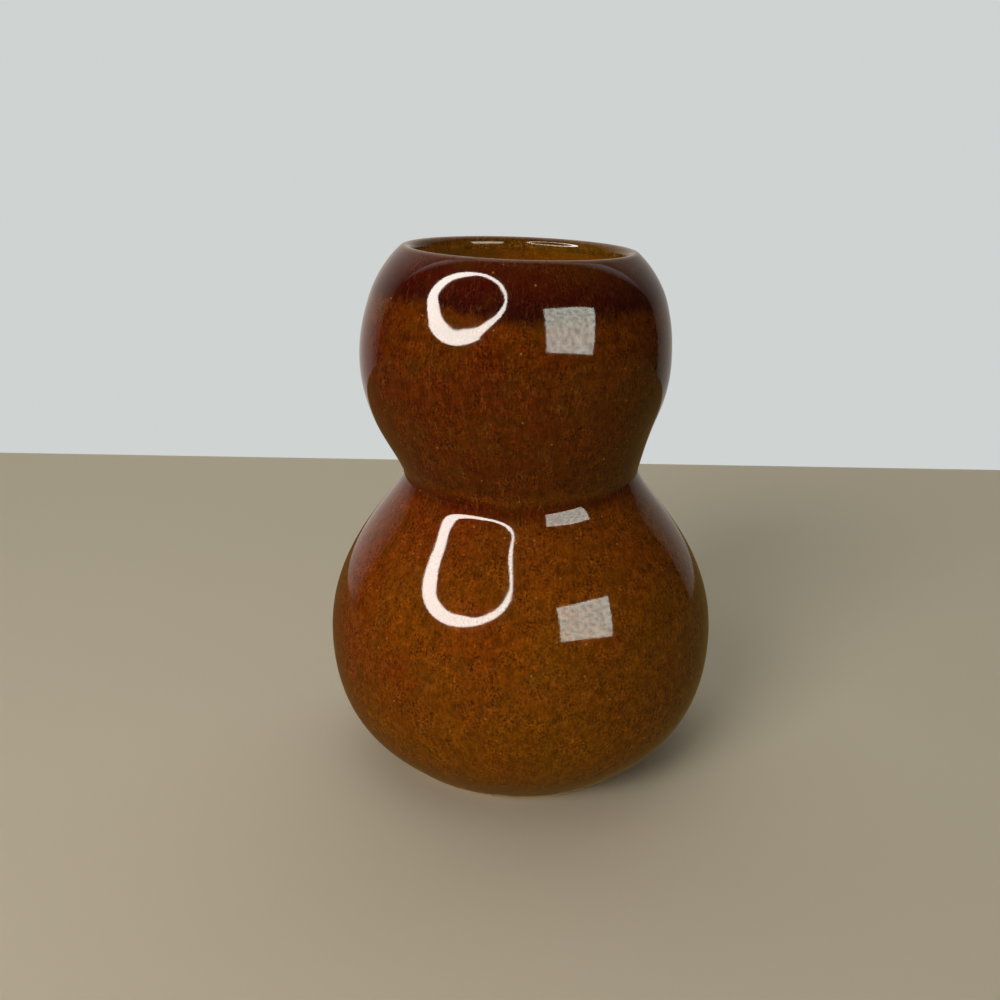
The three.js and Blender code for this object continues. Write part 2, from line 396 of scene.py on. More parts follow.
# %% [markdown]
# ## The outer amber coat
# The amber glaze runs from a rolled edge just above the foot, up the outside, over the lip and down to
# where the liner glaze meets it. It is a closed skin half a millimetre thick.

# %% Turn the amber coat
EDGE_STEPS = 6


def rolled_edge(depth_back):
    """Half-round end of the coat above the foot, from its back to its face."""
    spot, along = outside[0], alongs[0]
    out = outwards(along)
    radius = depth_back / 2
    middle = spot - out * radius
    found = []
    for step in range(1, EDGE_STEPS):
        angle = math.pi * step / EDGE_STEPS
        placed = middle - out * radius * math.cos(angle) - along * radius * math.sin(angle)
        found.append((placed.x, placed.y, 0.0))
    return found


amber_outline = (
    rolled_edge(OUTER_GLAZE)
    + sunk(even(0))
    + lip_cap(0, lip_depth(liner_face))[1:]
    + lip_cap(OUTER_GLAZE, lip_depth(liner_back))[::-1]
    + sunk(even(OUTER_GLAZE))[-2::-1]
)
amber_coat = turned("amber_coat", amber_outline)
settle(amber_coat)
print("amber coat:", len(amber_coat.data.polygons), "faces")

# %% [markdown]
# ## The honey liner
# Liner glaze is poured in, swirled and tipped out, so it covers the floor and the whole inside up to the
# lip. The floor is level in the middle and runs into the wall on one curve.

# %% Turn the liner
FOOT_RECESS = 1.6 * MM
FLOOR_THICKNESS = 4.2 * MM
FLOOR_POINTS = 20
WALL_START = len(belly) // 2


def floor(depth_at, height):
    """Inside of the floor, from the axis to where the wall starts."""
    spot, along = outside[WALL_START], alongs[WALL_START]
    end = spot - outwards(along) * depth_at(spot.y)
    corner = end + along * (height - end.y) / along.y
    points = interpolate_bezier(Vector((0, height)), Vector((end.x / 2, height)), corner, end, FLOOR_POINTS)
    reach = reach_of[WALL_START]
    return [(point.x, point.y, reach * point.x / end.x) for point in points]


floor_back = FOOT_RECESS + FLOOR_THICKNESS + HAIRLINE
liner_outline = (
    floor(liner_back, floor_back)
    + sunk(liner_back, WALL_START + 1)
    + sunk(liner_face, WALL_START + 1)[::-1]
    + floor(liner_face, floor_back + LINER_GLAZE)[::-1]
)
honey_liner = turned("honey_liner", liner_outline, closes=False)
settle(honey_liner)
print("honey liner:", len(honey_liner.data.polygons), "faces")

# %% [markdown]
# ## The clay
# The lower bulb shows as a bare foot under the rolled edge of the glaze, and its foot ring shows when the
# vase is picked up. The upper bulb is wholly covered. Both are turned finely, from the same gauge. The
# slip joint between them keeps its faceted solid, because no light reaches it.

# %% Turn the lower and upper bulbs
FOOT_RING_WIDTH = 4.4 * MM
FOOT_EASE = 0.4 * MM
RECESS_STEPS = 8
EASE_STEPS = 5


def arc(centre_radius, centre_height, radius, start, end, count):
    """Points of a circular arc, from one angle to another in degrees."""
    found = []
    for step in range(count + 1):
        angle = math.radians(start + (end - start) * step / count)
        across = centre_radius + radius * math.cos(angle)
        up = centre_height + radius * math.sin(angle)
        found.append((across, up, 0.0))
    return found


underside = (
    [(0.0, FOOT_RECESS, 0.0)]
    + arc(FOOT_RADIUS - FOOT_RING_WIDTH - FOOT_RECESS, 0, FOOT_RECESS, 90, 0, RECESS_STEPS)
    + arc(FOOT_RADIUS - FOOT_EASE, FOOT_EASE, FOOT_EASE, -90, 0, EASE_STEPS)
)
JOIN = CREASE_FIRST + 1
lower_clay_outline = (
    underside
    + sunk(clay_outside, 0, JOIN)
    + sunk(clay_inside, WALL_START, JOIN)[::-1]
    + floor(clay_inside, floor_back - HAIRLINE)[-2::-1]
)
lower_clay = turned("lower_clay", lower_clay_outline, closes=False)
settle(lower_clay)

NECK_FIRST = CREASE_FIRST + CREASE_STEPS
upper_clay_outline = (
    sunk(clay_outside, NECK_FIRST)
    + lip_cap(lip_depth(clay_outside), lip_depth(clay_inside))[1:]
    + sunk(clay_inside, NECK_FIRST)[-2::-1]
)
upper_clay = turned("upper_clay", upper_clay_outline)
settle(upper_clay)
print("clay:", len(lower_clay.data.polygons), "and", len(upper_clay.data.polygons), "faces")

# %% [markdown]
# ## The dark dip
# The rim was dipped again, upside down, and in the kiln the second glaze melted into the first. Its edge
# is a soft wavy line about a quarter of the way down the upper bulb, and it ends on the crest of the lip.
# The coat is turned like the others, and then each vertex is raised or sunk by the coat's thickness
# there, which fades out over a long way, so that the surface runs on without a step and the ring lamp's
# reflection crosses the edge almost whole. How much dark glaze lies at each vertex is kept for the finish
# to read.

# %% Turn the dip
DIP_DEPTH = 14.2 * MM
DIP_COAT = 0.13 * MM
DIP_SUNK = 0.0015 * MM
DIP_THINS = 5.5 * MM
DIP_DARKENS = (2.2 * MM, 5.4 * MM)
DIP_ENDS_INSIDE = (0.3 * MM, 1.4 * MM)
DIP_SPARE = 3 * MM
DIP_BACK = OUTER_GLAZE / 2

# The waves of the edge: depth in millimetres, waves round the pot, and turn of the first one in radians
DIP_WAVES = ((0.5, 1, 0), (1, 3, 1.05), (0.3, 7, 2.1), (0.2, 13, 0.4))


def dip_edge(angle):
    """Reach of the wavy edge at an angle round the pot."""
    waves = sum(depth * MM * math.sin(count * angle + turn) for depth, count, turn in DIP_WAVES)
    return LIP_REACH - DIP_DEPTH - waves


dip_first = next(i for i, reach in enumerate(reach_of) if reach > LIP_REACH - DIP_DEPTH - DIP_SPARE)
dip_outline = (
    sunk(even(0), dip_first)
    + lip_cap(0, lip_depth(liner_face))[1:]
    + lip_cap(DIP_BACK, lip_depth(liner_face) - DIP_BACK)[::-1]
    + sunk(even(DIP_BACK), dip_first)[-2::-1]
)
dip_coat = turned("dark_dip_coat", dip_outline)
print("dark dip:", len(dip_coat.data.polygons), "faces")


# %% Raise the dip and fade its edge
def raise_dip(piece):
    """Lift the face by the coat's thickness, and keep the share of dark glaze at each vertex."""
    mesh = piece.data
    reach = mesh.attributes["reach"]
    share = mesh.attributes.new("dark_share", "FLOAT", "POINT")
    normals = [vert.normal.copy() for vert in mesh.vertices]
    ends = (LIP_REACH + DIP_ENDS_INSIDE[0], LIP_REACH + DIP_ENDS_INSIDE[1])
    for vert, normal in zip(mesh.vertices, normals):
        angle = math.atan2(vert.co.x, -vert.co.y)
        along = reach.data[vert.index].value
        above = along - dip_edge(angle)
        inside = smooth_share(along, *ends)
        share.data[vert.index].value = smooth_share(above, *DIP_DARKENS) * (1 - inside)
        thick = smooth_share(above, 0, DIP_THINS) * (1 - inside)
        vert.co += normal * (DIP_COAT * thick - DIP_SUNK * (1 - thick))
    mesh.update()


raise_dip(dip_coat)
settle(dip_coat)
print("dark dip raised by", round(DIP_COAT / MM, 2), "mm")

# %% [markdown]
# ## Coordinates for the finishes
# Glaze melts downhill, so its grain and drips follow the wall and not the room. Each vertex keeps a flow
# coordinate: its place round a fixed circle, and its reach along the gauge, pressed together so that a
# plain noise drawn on it comes out as short upright streaks.

# %% Keep the flow coordinate on each coat
FLOW_RADIUS = 30 * MM
FLOW_STRETCH = 0.28


def keep_flow(piece):
    """Write the flow coordinate on every vertex, from its angle and its reach."""
    mesh = piece.data
    reach = mesh.attributes["reach"]
    flow = mesh.attributes.new("flow", "FLOAT_VECTOR", "POINT")
    for vert in mesh.vertices:
        radial = Vector((vert.co.x, vert.co.y)).normalized() * FLOW_RADIUS
        flow.data[vert.index].vector = (radial.x, radial.y, reach.data[vert.index].value * FLOW_STRETCH)


for piece in (amber_coat, dip_coat, honey_liner):
    keep_flow(piece)
    print("flow kept on", piece.name)

# %% [markdown]
# ## A short way to write nodes
# A finish is a tree of nodes. These helpers add one node each and link what they are given, so that each
# material below reads as a recipe.

# %% Colours, sockets and nodes
def paint(red, green, blue):
    """A colour as a screen gives it, 0 to 255, turned by the screen's curve into a node's linear values."""
    def linear(level):
        share = level / 255
        return share / 12.92 if share <= 0.04045 else ((share + 0.055) / 1.055) ** 2.4
    return (linear(red), linear(green), linear(blue), 1)


def put(tree, socket, value):
    """Set a socket to a value, or link it if the value is another node's output."""
    if isinstance(value, bpy.types.NodeSocket):
        tree.links.new(value, socket)
    else:
        socket.default_value = value


def add(tree, kind, inputs=None, **properties):
    """A new shader node with its properties and inputs set."""
    made = tree.nodes.new("ShaderNode" + kind)
    for name, value in properties.items():
        setattr(made, name, value)
    for name, value in (inputs or {}).items():
        put(tree, made.inputs[name], value)
    return made


def attribute(tree, name, output="Fac"):
    return add(tree, "Attribute", attribute_name=name).outputs[output]


print("screen grey 128 as a node takes it:", round(paint(128, 128, 128)[0], 3))

# %% Noise and sums
NOISE_SPAN = (0.3, 0.7)


def grain(tree, where, size, detail=2, roughness=0.5, curl=0.0):
    """Noise between 0 and 1 on a coordinate, with grains of a size in metres."""
    inputs = {
        "Vector": where,
        "Scale": 1 / size,
        "Detail": detail,
        "Roughness": roughness,
        "Distortion": curl,
    }
    return add(tree, "TexNoise", inputs).outputs["Fac"]


def ranged(tree, value, low, high, to_low, to_high):
    """Value between low and high carried over to another range, and held at its ends."""
    inputs = {"Value": value, "From Min": low, "From Max": high, "To Min": to_low, "To Max": to_high}
    return add(tree, "MapRange", inputs).outputs["Result"]


def varied(tree, noise_value, low, high):
    """A noise as a value from low to high, over the middle of its range, where nearly all of it lies."""
    return ranged(tree, noise_value, *NOISE_SPAN, low, high)


def swaying(tree, noise_value, middle, swing):
    """A noise as a value that sways both ways about a middle."""
    return varied(tree, noise_value, middle - swing, middle + swing)


def calc(tree, operation, first, second=0.0, clamp=False):
    return add(tree, "Math", {0: first, 1: second}, operation=operation, use_clamp=clamp).outputs[0]


def times(tree, first, second):
    return calc(tree, "MULTIPLY", first, second)


print("noise is read from", NOISE_SPAN[0], "to", NOISE_SPAN[1])


# %% Mixes, ramps and whole finishes
def mixed(tree, share, first, second):
    """The first colour where the share is 0, and the second where it is 1."""
    return add(tree, "Mix", {0: share, 6: first, 7: second}, data_type="RGBA").outputs[2]


def ramp(tree, value, span, stops):
    """Colours along a span: stops are (value, colour), in the span's own units."""
    low, high = span
    share = ranged(tree, value, low, high, 0, 1)
    made = add(tree, "ValToRGB", {"Fac": share})
    elements = made.color_ramp.elements
    while len(elements) > 1:
        elements.remove(elements[-1])
    for index, (place, colour) in enumerate(stops):
        position = (place - low) / (high - low)
        element = elements[0] if index == 0 else elements.new(position)
        element.position = position
        element.color = colour
    return made.outputs["Color"]


def new_finish(name):
    """A new material with an empty node tree."""
    material = bpy.data.materials.new(name)
    material.use_nodes = True
    material.node_tree.nodes.clear()
    return material, material.node_tree


def finish_off(tree, inputs):
    """The glossy or matt surface itself."""
    surface = add(tree, "BsdfPrincipled", inputs)
    add(tree, "OutputMaterial", {"Surface": surface.outputs["BSDF"]})


# %% [markdown]
# ## What all the glazes share
# Seen close, the glaze is a clear amber glass over speckled clay: fine grains of lighter and darker
# brown, short upright streaks and fine gold hairs where it ran, slow clouds of redder and yellower colour
# where the coat is thicker or thinner, olive veils, and now and then a gold crystal or an iron speck.
# Grains and hairs come in drifts. All of that is noise at different sizes, each turned into a small
# change of brightness or hue, so it can be laid over any glaze colour.

# %% Sizes and strengths of the mottle
GRAIN = 0.46 * MM
STREAK = 0.34 * MM
HAIR = 0.4 * MM
MOTTLE = 1.7 * MM
DRIFT = 3.5 * MM
VEIL = 5 * MM
CLOUD = 13 * MM

# How much each one lightens and darkens the glaze
FINE = 0.56
STREAKY = 0.25
PATCHY = 0.32

# How much each one covers, and the stretch of its noise over which it comes in
HAIRY = 0.42
HAIR_SPAN = (0.54, 0.7)
VEILED = 0.34
VEIL_SPAN = (0.5, 0.68)
DRIFT_SPAN = (0.36, 0.66)
DRIFT_RANGE = (0.25, 1.4)
CURL = 1.2

# Hue from redder to yellower, where 0.5 leaves it as it is, and the lean added from left to right
CLOUD_HUE = (0.493, 0.507)
SIDE_HUE = (-0.008, 0.012)

# Specks: the cell that holds one, its size as a share of the cell, and how strongly it shows
CRYSTAL_CELL = 3.4 * MM
CRYSTAL_SIZE = 0.045
CRYSTAL_SHARE = 0.6
IRON_CELL = 2.6 * MM
IRON_SIZE = 0.05
IRON_SHARE = 0.55
SPECK_EDGE = 1.8

VEIL_TONE = paint(84, 50, 4)
HAIR_TONE = paint(138, 84, 36)
IRON_TONE = paint(34, 14, 5)
CRYSTAL_TONE = paint(176, 120, 60)
print("finest streak:", round(STREAK / MM, 2), "mm; widest cloud:", round(CLOUD / MM, 1), "mm")


# %% Lay the mottle over a glaze colour
def specks(tree, where, cell, size):
    """1 at sparse small round specks and 0 elsewhere: the middles of the cells of a random pattern."""
    inputs = {"Vector": where, "Scale": 1 / cell}
    distance = add(tree, "TexVoronoi", inputs).outputs["Distance"]
    return ranged(tree, distance, size, size * SPECK_EDGE, 1, 0)


def mottled(tree, colour, place, flow, strength=1.0):
    """The glaze colour with its grain, streaks, clouds and specks laid over it."""
    drift_noise = grain(tree, place, DRIFT, detail=3, roughness=0.6)
    drift = ranged(tree, drift_noise, *DRIFT_SPAN, *DRIFT_RANGE)
    grains = swaying(tree, grain(tree, place, GRAIN), 0, FINE * strength)
    fine = calc(tree, "ADD", 1.0, times(tree, grains, drift))
    streak = swaying(tree, grain(tree, flow, STREAK), 1, STREAKY * strength)
    mottle = swaying(tree, grain(tree, place, MOTTLE, detail=3), 1, PATCHY * strength)
    light = times(tree, times(tree, fine, streak), mottle)

    side = add(tree, "SeparateXYZ", {0: place}).outputs["X"]
    leaning_hue = ranged(tree, side, -BELLY_RADIUS, BELLY_RADIUS, *SIDE_HUE)
    cloud_hue = varied(tree, grain(tree, place, CLOUD, detail=3), *CLOUD_HUE)
    hue = calc(tree, "ADD", cloud_hue, leaning_hue)
    shaded = add(tree, "HueSaturation", {"Hue": hue, "Value": light, "Color": colour}).outputs["Color"]

    veil_noise = grain(tree, place, VEIL, detail=4, roughness=0.55)
    veil = ranged(tree, veil_noise, *VEIL_SPAN, 0, VEILED * strength)
    veiled = mixed(tree, veil, shaded, VEIL_TONE)
    hairs = ranged(tree, grain(tree, flow, HAIR, curl=CURL), *HAIR_SPAN, 0, HAIRY * strength)
    with_hairs = mixed(tree, times(tree, hairs, drift), veiled, HAIR_TONE)
    iron = times(tree, specks(tree, flow, IRON_CELL, IRON_SIZE), IRON_SHARE)
    with_iron = mixed(tree, iron, with_hairs, IRON_TONE)
    crystals = times(tree, specks(tree, place, CRYSTAL_CELL, CRYSTAL_SIZE), CRYSTAL_SHARE)
    return mixed(tree, crystals, with_iron, CRYSTAL_TONE)


# %% [markdown]
# ## The skin of the glaze
# Fired glaze is smooth as glass and yet never quite flat: it has a faint orange peel and the low ridges
# of its runs. They could be sculpted, but they are a few thousandths of a millimetre deep and only soften
# and stipple the edges of the reflections, so a bump in the material is enough. The gloss varies a little
# too.

# %% Give the glaze its skin
SKIN_WAVE = 0.3 * MM
SKIN_DEPTH = 0.0016 * MM
STREAK_DEPTH = 0.0012 * MM
GLOSS = (0.04, 0.06)
GLAZE_IOR = 1.5


def glaze_skin(tree, place, flow):
    """The faint orange peel of the fired surface and the ridges of its runs, as a normal."""
    peel = times(tree, grain(tree, place, SKIN_WAVE), SKIN_DEPTH / MM)
    runs = times(tree, grain(tree, flow, STREAK, detail=1), STREAK_DEPTH / MM)
    height = calc(tree, "ADD", peel, runs)
    return add(tree, "Bump", {"Height": height, "Distance": MM}).outputs["Normal"]


def glaze_surface(tree, colour, place, flow):
    """A glossy surface of a colour, with the skin and the gloss that all the glazes share."""
    roughness = varied(tree, grain(tree, place, MOTTLE), *GLOSS)
    normal = glaze_skin(tree, place, flow)
    finish_off(tree, {"Base Color": colour, "Roughness": roughness, "IOR": GLAZE_IOR, "Normal": normal})


print("skin depth:", round((SKIN_DEPTH + STREAK_DEPTH) / MM, 4), "mm")

# %% [markdown]
# ## Amber glaze
# Its colour changes with height: olive brown where it thins towards the foot, orange brown on the belly,
# red brown on the shoulder, dark red in the crease where it pooled, and an olive band just above. A ramp
# along the reach gives all of that, written as millimetres above the crease, and a slow noise shifts it a
# little so that no band is a perfect ring. On the crest of the lip a pale line is a painted highlight,
# where the rounded lip mirrors the pale wall, and past it the coat takes the liner's honey brown. Low on
# the belly the grain melts away, and at the very foot the coat turns pale in patches along a thin line.

# %% Colours of the amber glaze
# Millimetres above the crease along the outline, and the colour there
AMBER_SPAN = (-70, 50)
AMBER_BANDS = (
    (-70, paint(104, 55, 2)),
    (-50, paint(112, 60, 2)),
    (-36, paint(110, 55, 4)),
    (-24, paint(118, 59, 5)),
    (-14, paint(118, 55, 6)),
    (-5, paint(113, 51, 6)),
    (-2.6, paint(106, 46, 5)),
    (-0.8, paint(84, 27, 2)),
    (0.3, paint(76, 24, 2)),
    (2.2, paint(97, 45, 5)),
    (4.2, paint(81, 33, 2)),
    (16, paint(86, 34, 2)),
    (24, paint(85, 33, 2)),
    (34, paint(97, 41, 2)),
    (42, paint(97, 41, 2)),
)

# Millimetres past the start of the lip, and the colour there. The pale stops near 1 mm are a painted
# highlight, where the rounded lip mirrors the pale wall
LIP_SPAN = (0, 3)
LIP_BANDS_AND_PAINTED_HIGHLIGHT = (
    (0, paint(110, 58, 30)),
    (0.6, paint(128, 78, 50)),
    (0.95, paint(176, 128, 98)),
    (1.3, paint(150, 100, 66)),
    (1.7, paint(104, 62, 14)),
    (2.4, paint(94, 56, 9)),
)
print("bands:", len(AMBER_BANDS), "on the wall and", len(LIP_BANDS_AND_PAINTED_HIGHLIGHT), "on the lip")

# %% Mix the amber glaze
BAND_SHIFT = 0.5
LIP_SHIFT = 0.12
LIP_BLEND = 0.1
FOOT_LINE = (1.0 * MM, 1.9 * MM)
FOOT_PATCH = 2.2 * MM
PATCH_SPAN = (0.5, 0.56)
PATCH_SHARE = 0.8
PALED_TONE = paint(186, 160, 112)
CALM_FOOT = (4 * MM, 20 * MM)
CALM_SHARE = 0.55


def object_place(tree):
    """The place on the piece, in metres, the same on every layer."""
    return add(tree, "TexCoord").outputs["Object"]


def millimetres_past(tree, reach, start):
    """How far a reach lies past a start, in millimetres."""
    return calc(tree, "DIVIDE", calc(tree, "SUBTRACT", reach, start), MM)


def amber_colour(tree, place, flow):
    """The amber glaze's colour with its bands, the painted highlight on its lip, its pale foot line, and
    its mottle.
    """
    reach = attribute(tree, "reach")
    above_crease = millimetres_past(tree, reach, CREASE_REACH)
    shift = swaying(tree, grain(tree, place, CLOUD, detail=1), 0, BAND_SHIFT)
    bands = ramp(tree, calc(tree, "ADD", above_crease, shift), AMBER_SPAN, AMBER_BANDS)
    past_lip = millimetres_past(tree, reach, LIP_REACH)
    wobble = swaying(tree, grain(tree, place, MOTTLE), 0, LIP_SHIFT)
    # The lip ramp holds a painted highlight: its pale line near 1 mm stands for the pale wall mirrored in
    # the rounded lip.
    lip = ramp(tree, calc(tree, "ADD", past_lip, wobble), LIP_SPAN, LIP_BANDS_AND_PAINTED_HIGHLIGHT)
    with_lip_and_painted_highlight = mixed(tree, ranged(tree, past_lip, 0, LIP_BLEND, 0, 1), bands, lip)
    patches = ranged(tree, grain(tree, place, FOOT_PATCH, detail=3), *PATCH_SPAN, 0, PATCH_SHARE)
    pale = times(tree, ranged(tree, reach, *FOOT_LINE, 1, 0), patches)
    plain = mixed(tree, pale, with_lip_and_painted_highlight, PALED_TONE)
    calm = ranged(tree, reach, *CALM_FOOT, CALM_SHARE, 0)
    return mixed(tree, calm, mottled(tree, plain, place, flow), plain)


amber_finish, tree = new_finish("amber_glaze_fired")
place = object_place(tree)
flow = attribute(tree, "flow", "Vector")
glaze_surface(tree, amber_colour(tree, place, flow), place, flow)
amber_coat.data.materials.append(amber_finish)
print(amber_finish.name, "has", len(tree.nodes), "nodes")

# %% [markdown]
# ## Dark dip glaze
# Over the amber lies the dark red brown of the second dip: darkest just above its edge, where it ran and
# pooled, and redder towards the lip, where it is thin. Just past the start of the lip it turns pale pink, a
# painted highlight where the rounded lip mirrors the pale wall. Where the dark share is nought the colour
# is exactly the amber glaze's, so the two coats meet without a line. The share is roughened with streaks
# first.

# %% Mix the dark dip glaze
DARK_STREAK = 0.8 * MM
RAGGED = 0.45
DARK_MOTTLE = 0.6

# Millimetres down from the lip, less than nought past it, and the colour there. The two pale stops past the
# lip are a painted highlight on its crest
DARK_SPAN = (-2, 14)
DARK_BANDS_AND_PAINTED_LIP_HIGHLIGHT = (
    (-1, paint(120, 74, 48)),
    (-0.3, paint(104, 60, 36)),
    (0.3, paint(80, 33, 10)),
    (2, paint(74, 24, 6)),
    (4.5, paint(70, 16, 4)),
    (8, paint(58, 12, 5)),
    (11, paint(46, 10, 5)),
)

# A share times what it lacks to 1 is a quarter at most, so this brings it to 1 where the edge is half faded
MIDDLING = 4.0

dark_finish, tree = new_finish("dark_glaze_fired")
place = object_place(tree)
flow = attribute(tree, "flow", "Vector")
share = attribute(tree, "dark_share")
streaks = swaying(tree, grain(tree, flow, DARK_STREAK, detail=3), 0, RAGGED)
middling = times(tree, share, calc(tree, "SUBTRACT", 1.0, share))
ragged = calc(tree, "ADD", share, times(tree, times(tree, middling, MIDDLING), streaks), clamp=True)
from_lip = calc(tree, "DIVIDE", calc(tree, "SUBTRACT", LIP_REACH, attribute(tree, "reach")), MM)
# Past the lip the dark colour holds a painted highlight: the pale pink line on the crest.
dark = mottled(tree, ramp(tree, from_lip, DARK_SPAN, DARK_BANDS_AND_PAINTED_LIP_HIGHLIGHT), place, flow, DARK_MOTTLE)
glaze_surface(tree, mixed(tree, ragged, amber_colour(tree, place, flow), dark), place, flow)
dip_coat.data.materials.append(dark_finish)
print(dark_finish.name, "has", len(tree.nodes), "nodes")

# %% [markdown]
# ## Honey liner glaze
# The inside is a lighter, yellower brown, olive on one side and gold on the other, with a fainter grain.
# One colour would do from the front, but the mouth shows enough of the wall for the change to be seen.

# %% Mix the honey glaze
HONEY_ACROSS = (-14 * MM, 6 * MM)
HONEY_LEAN = (-0.4, 0.8)
HONEY_OLIVE = paint(84, 58, 14)
HONEY_GOLD = paint(116, 62, 7)
HONEY_MOTTLE = 0.4

honey_finish, tree = new_finish("honey_glaze_fired")
place = object_place(tree)
flow = attribute(tree, "flow", "Vector")
side = add(tree, "SeparateXYZ", {0: place}).outputs["X"]
across = ranged(tree, side, *HONEY_ACROSS, *HONEY_LEAN)
gold_share = calc(tree, "ADD", across, grain(tree, place, CLOUD), clamp=True)
honey_tone = mixed(tree, gold_share, HONEY_OLIVE, HONEY_GOLD)
glaze_surface(tree, mottled(tree, honey_tone, place, flow, HONEY_MOTTLE), place, flow)
honey_liner.data.materials.append(honey_finish)
print(honey_finish.name, "has", len(tree.nodes), "nodes")

# %% [markdown]
# ## Bare clay and slip
# The foot is buff stoneware with iron flecks, matt and a little gritty. The slip is the same clay,
# watered down and somewhat darker.

# %% Mix the clay
CLAY_TONES = (paint(196, 170, 138), paint(164, 134, 104))
SLIP_TONES = (paint(170, 144, 116), paint(140, 112, 88))
CLAY_PATCH = 4 * MM
CLAY_GRIT = 0.35 * MM
CLAY_GRIT_DEPTH = 0.03 * MM
SLIP_GRIT_DEPTH = 0.02 * MM
CLAY_ROUGHNESS = (0.78, 0.92)
FLECK_CELL = 1.6 * MM
FLECK_SIZE = 0.1
FLECK_TONE = paint(74, 48, 34)


def clay_finish(name, tones, grit_depth):
    """Matt flecked clay between two tones, with a grit of a given depth."""
    finish, tree = new_finish(name)
    place = object_place(tree)
    colour = mixed(tree, grain(tree, place, CLAY_PATCH, detail=4), *tones)
    flecked = mixed(tree, specks(tree, place, FLECK_CELL, FLECK_SIZE), colour, FLECK_TONE)
    grit = grain(tree, place, CLAY_GRIT, detail=4, roughness=0.65)
    normal = add(tree, "Bump", {"Height": grit, "Distance": grit_depth}).outputs["Normal"]
    roughness = varied(tree, grit, *CLAY_ROUGHNESS)
    finish_off(tree, {"Base Color": flecked, "Roughness": roughness, "Normal": normal})
    print(name, "has", len(tree.nodes), "nodes")
    return finish


clay = clay_finish("bare_stoneware", CLAY_TONES, CLAY_GRIT_DEPTH)
slip = clay_finish("fired_slip", SLIP_TONES, SLIP_GRIT_DEPTH)
lower_clay.data.materials.append(clay)
upper_clay.data.materials.append(clay)
slip_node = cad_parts["waist_slip_joint"]
slip_node.data.materials.clear()
slip_node.data.materials.append(slip)

# %% [markdown]
# ## Table and wall
# The vase stands on a plain pale table top that ends not far behind it, in front of a pale wall. The
# glaze mirrors the wall: what shows as a grey band down each side of the vase is the wall to the left and
# right, seen at a glancing angle, and its width sets theirs. A glowing wall keeps an even tone without a
# lamp of its own. In the glaze the table shows as dark wood, which its glossy rays get through Light
# Path, so the lower half of each bulb keeps its own brown.

# %% Places and tones of the table and the wall
# In metres, from the middle of the foot
TABLE_BACK = 0.2133
WALL_PLACE = 0.225
BACK_SLANT = 0.0615
TABLE_FRONT = -1.2
TABLE_HALF_WIDTH = 1.6
WALL_LEFT = -0.56
WALL_RIGHT = 0.37
WALL_TOP = 1.8
WALL_BOTTOM = -0.6
TABLE_TONE = paint(206, 192, 166)
TABLE_ROUGHNESS = 0.7
TABLE_SPECULAR = 0.2
TABLE_MIRRORED = paint(96, 78, 44)
WALL_TONE = paint(207, 211, 210)

# Places to the side, in metres, and the wall's shade there as the glaze mirrors it
WALL_SHADES = (
    (WALL_LEFT, paint(90, 82, 74)),
    (-0.36, paint(160, 150, 140)),
    (-0.12, paint(206, 196, 186)),
    (0.06, paint(176, 170, 162)),
    (0.24, paint(146, 140, 132)),
    (WALL_RIGHT, paint(100, 94, 88)),
)
print("table ends", round(TABLE_BACK / MM), "mm behind the vase's axis")


# %% Helpers for the stage
def staged(work, name, finish):
    """A stage piece from a bmesh, which is freed."""
    mesh = bpy.data.meshes.new(name)
    work.to_mesh(mesh)
    work.free()
    mesh.materials.append(finish)
    made = bpy.data.objects.new(name, mesh)
    bpy.context.scene.collection.objects.link(made)
    return made


def staged_sheet(name, corners, finish):
    """A flat stage piece between four corners."""
    work = bmesh.new()
    work.faces.new([work.verts.new(corner) for corner in corners])
    return staged(work, name, finish)


def emission(tree, tone, strength=1.0):
    return add(tree, "Emission", {"Color": tone, "Strength": strength}).outputs[0]


def glow(name, tone, strength):
    """A finish that only glows."""
    finish, tree = new_finish(name)
    add(tree, "OutputMaterial", {"Surface": emission(tree, tone, strength)})
    return finish


def wall_glow():
    """The wall as the camera sees it, and as the glaze mirrors it, in shade towards the sides."""
    finish, tree = new_finish("pale_wall")
    side = add(tree, "SeparateXYZ", {0: object_place(tree)}).outputs["X"]
    shade = ramp(tree, side, (WALL_LEFT, WALL_RIGHT), WALL_SHADES)
    mirrored = add(tree, "LightPath").outputs["Is Glossy Ray"]
    add(tree, "OutputMaterial", {"Surface": emission(tree, mixed(tree, mirrored, WALL_TONE, shade))})
    return finish


def behind(distance, side):
    """How far back the table's edge or the wall is at a place to the side, as both run aslant."""
    return distance - BACK_SLANT * side


# %% Build the table and the wall
table_finish, tree = new_finish("pale_table")
table_surface = add(tree, "BsdfPrincipled", {
    "Base Color": TABLE_TONE,
    "Roughness": TABLE_ROUGHNESS,
    "Specular IOR Level": TABLE_SPECULAR,
})
table_seen = add(tree, "MixShader", {
    0: add(tree, "LightPath").outputs["Is Glossy Ray"],
    1: table_surface.outputs[0],
    2: emission(tree, TABLE_MIRRORED),
})
add(tree, "OutputMaterial", {"Surface": table_seen.outputs[0]})
staged_sheet("table_top", (
    (-TABLE_HALF_WIDTH, TABLE_FRONT, 0),
    (TABLE_HALF_WIDTH, TABLE_FRONT, 0),
    (TABLE_HALF_WIDTH, behind(TABLE_BACK, TABLE_HALF_WIDTH), 0),
    (-TABLE_HALF_WIDTH, behind(TABLE_BACK, -TABLE_HALF_WIDTH), 0),
), table_finish)
